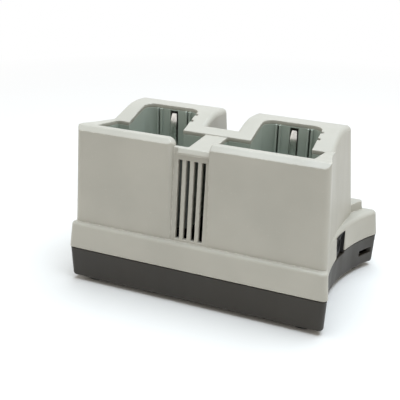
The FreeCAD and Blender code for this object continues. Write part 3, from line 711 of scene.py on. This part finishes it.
class CRADLE_OT_inlet(bpy.types.Operator):
    """Rolled black mouth ring of the DC inlet, with a shroud behind and above it"""
    bl_idname = "cradle.inlet"
    bl_label = "DC inlet"

    def execute(self, context):
        detail = context.scene.cradle_detail
        low, high = (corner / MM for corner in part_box("dc_jack_body"))
        y, z = (low.y + high.y) / 2, (low.z + high.z) / 2
        face = high.x
        rim = detail.mouth_radius / MM
        bore = 3.18
        base = 2 * CLEAR
        profile = [(bore, base), (bore, 0.16), (bore + 0.17, 0.34),
                   (rim - 0.20, 0.36), (rim, 0.22), (rim, base)]
        bm = bmesh.new()
        lathe(bm, profile, (face, y, z), "X", 48)
        ring = piece_from("inlet_mouth", bm, "inlet_plastic")
        settle(soften(ring, 0.05 * MM, 1, 50), "cradle")
        reach = detail.shroud_reach / MM
        roof_reach = 0.7 * reach
        wall = 0.34
        inset = wall / 2 - CLEAR
        still = (0, 0, 0)
        rear = bars(1, (face + reach / 2, high.y - inset, z - 0.1), still,
                    (reach, wall, high.z - low.z - 0.5))
        roof = bars(1, (face + roof_reach / 2, y - 0.2, high.z - inset), still,
                    (roof_reach, high.y - low.y - 0.7, wall))
        shroud = grown("inlet_shroud", [rear, roof], "inlet_plastic")
        settle(soften(shroud, 0.05 * MM), "cradle")
        return {"FINISHED"}


class CRADLE_OT_stage(bpy.types.Operator):
    """Floor, lamps, sky and camera"""
    bl_idname = "cradle.stage"
    bl_label = "Studio"

    def execute(self, context):
        scene = context.scene
        stage = scene.cradle_stage
        scene.view_settings.view_transform = "Standard"
        make_floor(stage)
        make_sky(scene)
        lamp("top_lamp", (0.10, 0.02, 0.75), (0.0, 0.0, 0.04), 0.7, stage.top_light, (0.78, 0.89, 1.0))
        lamp("front_lamp", (-0.60, -0.68, 0.42), (0.0, 0.0, 0.04), 0.8, stage.front_light, (1.0, 0.96, 0.88))
        lamp("left_lamp", (-0.95, -0.20, 0.42), (0.0, 0.0, 0.05), 0.35, stage.left_light, (1.0, 0.99, 0.97))
        lamp("side_lamp", (0.95, 0.10, 0.40), (0.05, 0.0, 0.04), 0.6, stage.side_light, (1.0, 0.93, 0.78))
        camera_data = bpy.data.cameras.new("camera")
        camera_data.lens = stage.lens
        camera_data.sensor_width = 36.0
        camera_data.clip_start = 0.01
        camera = bpy.data.objects.new("camera", camera_data)
        scene.collection.objects.link(camera)
        camera.location = (0.1168, -0.3139, 0.1799)
        camera.rotation_euler = [math.radians(angle) for angle in (66.90, -1.24, 22.82)]
        scene.camera = camera
        return {"FINISHED"}


def make_floor(stage):
    """Wide pale floor that keeps the object's shadow and is seen white far away."""
    half_width = 6.0
    fade_start, fade_end = 0.16, 0.50
    s = Shader("floor_pale")
    tone = s.noise(6, 3)
    colour = tuple(stage.floor_colour)
    base = s.mixed(s.ranged(tone, 0.3, 0.7, 0, 1), shade(colour, 0.985), shade(colour, 1.01))
    s.finish(base, 0.75)
    reach = s.node("ShaderNodeVectorMath", operation="LENGTH")
    s.link(s.place, reach.inputs[0])
    path = s.node("ShaderNodeLightPath")
    seen = s.math("MAXIMUM", path.outputs["Is Camera Ray"], path.outputs["Is Glossy Ray"])
    seen = s.math("MAXIMUM", seen, path.outputs["Is Transmission Ray"])
    far = s.math("MULTIPLY", seen, s.ranged(reach.outputs["Value"], fade_start, fade_end, 0, 1))
    glow = s.node("ShaderNodeEmission")
    glow.inputs["Color"].default_value = (1, 1, 1, 1)
    glow.inputs["Strength"].default_value = 1.0
    mix = s.node("ShaderNodeMixShader")
    s.link(far, mix.inputs[0])
    s.link(s.surface.outputs[0], mix.inputs[1])
    s.link(glow.outputs[0], mix.inputs[2])
    s.link(mix.outputs[0], s.output.inputs["Surface"])
    bm = bmesh.new()
    bmesh.ops.create_grid(bm, x_segments=8, y_segments=8, size=half_width)
    mesh = bpy.data.meshes.new("floor")
    bm.to_mesh(mesh)
    bm.free()
    mesh.materials.append(s.material)
    floor = bpy.data.objects.new("floor", mesh)
    bpy.context.scene.collection.objects.link(floor)


def make_sky(scene):
    """Soft warm light all round, white where the camera or a reflection sees it."""
    world = bpy.data.worlds.new("sky")
    scene.world = world
    world.use_nodes = True
    nodes, links = world.node_tree.nodes, world.node_tree.links
    nodes.clear()
    out = nodes.new("ShaderNodeOutputWorld")
    light = nodes.new("ShaderNodeBackground")
    seen = nodes.new("ShaderNodeBackground")
    mix = nodes.new("ShaderNodeMixShader")
    path = nodes.new("ShaderNodeLightPath")
    most = nodes.new("ShaderNodeMath")
    more = nodes.new("ShaderNodeMath")
    light.inputs[0].default_value = (1.0, 0.960, 0.890, 1)
    light.inputs[1].default_value = scene.cradle_stage.sky_light
    seen.inputs[0].default_value = (1, 1, 1, 1)
    seen.inputs[1].default_value = 1.0
    most.operation = more.operation = "MAXIMUM"
    links.new(path.outputs["Is Camera Ray"], most.inputs[0])
    links.new(path.outputs["Is Glossy Ray"], most.inputs[1])
    links.new(most.outputs[0], more.inputs[0])
    links.new(path.outputs["Is Transmission Ray"], more.inputs[1])
    links.new(more.outputs[0], mix.inputs[0])
    links.new(light.outputs[0], mix.inputs[1])
    links.new(seen.outputs[0], mix.inputs[2])
    links.new(mix.outputs[0], out.inputs["Surface"])


def lamp(name, place, target, size, power, colour):
    """Square soft lamp that faces a point."""
    data = bpy.data.lights.new(name, "AREA")
    data.shape = "SQUARE"
    data.size = size
    data.energy = power
    data.color = colour
    made = bpy.data.objects.new(name, data)
    made.location = place
    made.rotation_euler = (Vector(target) - Vector(place)).to_track_quat("-Z", "Y").to_euler()
    bpy.context.scene.collection.objects.link(made)
    return made


# ---------------------------------------------------------------- add-on
STEPS = (CRADLE_OT_finishes, CRADLE_OT_leaf_springs, CRADLE_OT_contact_collars, CRADLE_OT_inlet,
         CRADLE_OT_underside, CRADLE_OT_feet, CRADLE_OT_stage)


class CRADLE_PT_panel(bpy.types.Panel):
    """Lists the steps that dress the cradle"""
    bl_label = "Charging cradle"
    bl_idname = "CRADLE_PT_panel"
    bl_space_type = "VIEW_3D"
    bl_region_type = "UI"
    bl_category = "Cradle"

    def draw(self, context):
        for group in (context.scene.cradle_finish, context.scene.cradle_detail, context.scene.cradle_stage):
            box = self.layout.box()
            for key in group.__annotations__:
                box.prop(group, key)
        for step in STEPS:
            self.layout.operator(step.bl_idname)


CLASSES = (CradleFinish, CradleDetail, CradleStage, *STEPS, CRADLE_PT_panel)


def register():
    for cls in CLASSES:
        bpy.utils.register_class(cls)
    bpy.types.Scene.cradle_finish = bpy.props.PointerProperty(type=CradleFinish)
    bpy.types.Scene.cradle_detail = bpy.props.PointerProperty(type=CradleDetail)
    bpy.types.Scene.cradle_stage = bpy.props.PointerProperty(type=CradleStage)


def unregister():
    del bpy.types.Scene.cradle_finish
    del bpy.types.Scene.cradle_detail
    del bpy.types.Scene.cradle_stage
    for cls in reversed(CLASSES):
        bpy.utils.unregister_class(cls)


def main():
    register()
    for step in STEPS:
        category, name = step.bl_idname.split(".")
        getattr(getattr(bpy.ops, category), name)()


if __name__ == "__main__":
    main()
